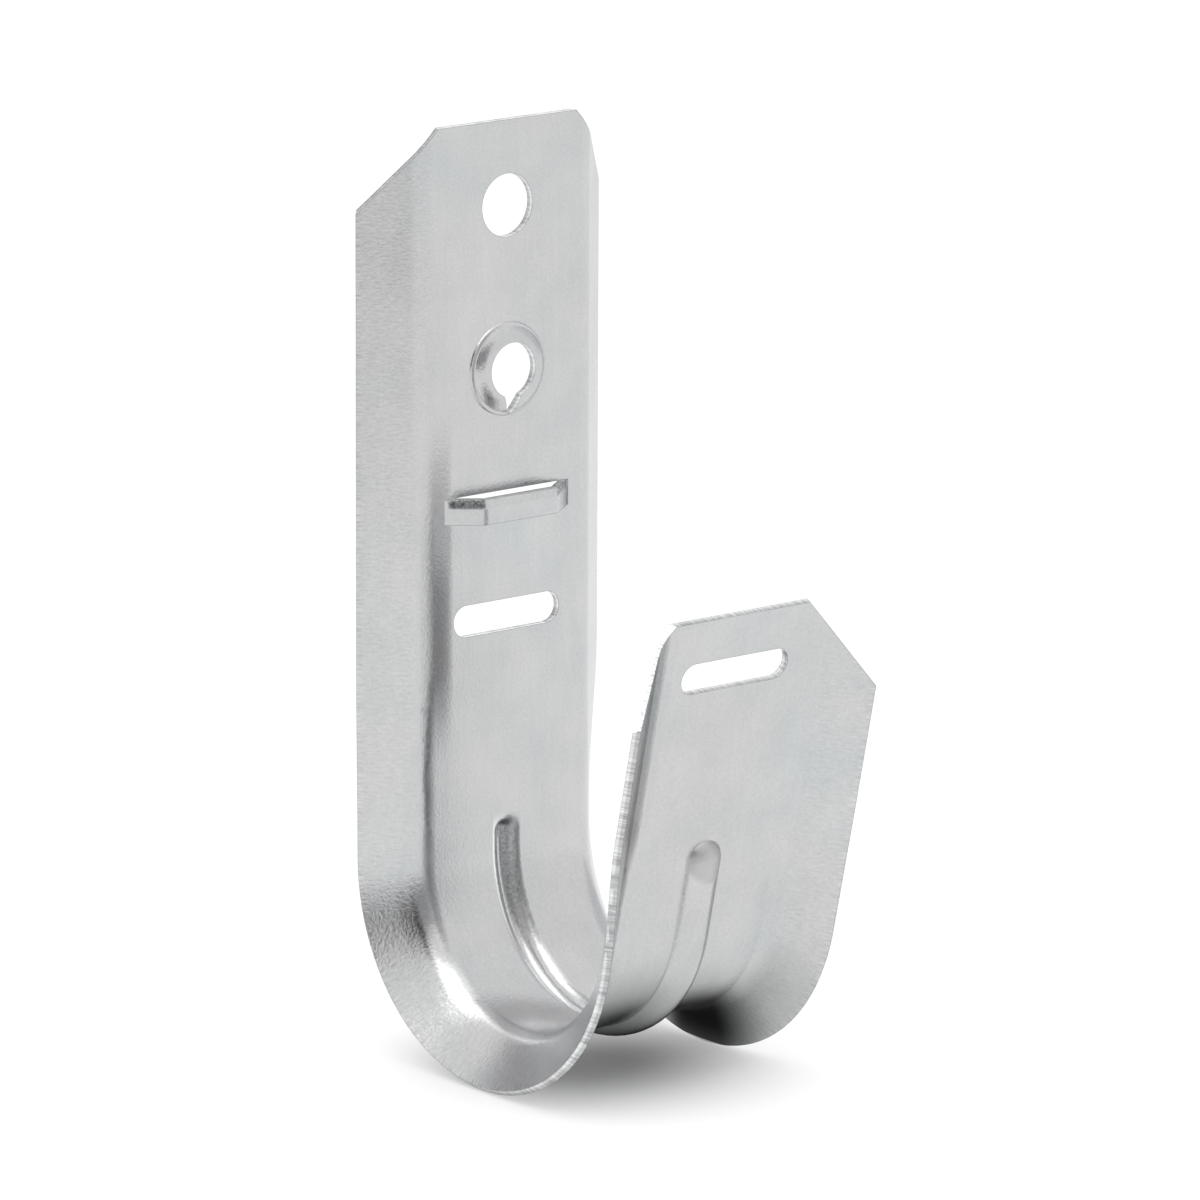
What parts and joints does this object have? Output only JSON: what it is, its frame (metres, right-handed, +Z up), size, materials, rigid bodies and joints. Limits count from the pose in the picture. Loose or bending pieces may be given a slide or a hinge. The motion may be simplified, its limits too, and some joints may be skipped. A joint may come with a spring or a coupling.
{
  "type": "cable j hook",
  "caption": "J-shaped cable support hook folded from galvanised steel strip, with flared side flanges, a stiffening groove, tie slots, a raised tie strap and wall fixing holes.",
  "frame": {"origin": "centre of the upper wall hole, on the face of the sheet that looks at the cables", "axes": "+X across the strip, -Y away from the wall towards the open side, +Z up along the wall plate"},
  "size_m": [0.0344, 0.0501, 0.1047],
  "materials": {
    "galvanised_steel": "matte satin galvanised sheet"
  },
  "bodies": {
    "root": {"j_hook": "galvanised_steel"}
  },
  "joints": []
}
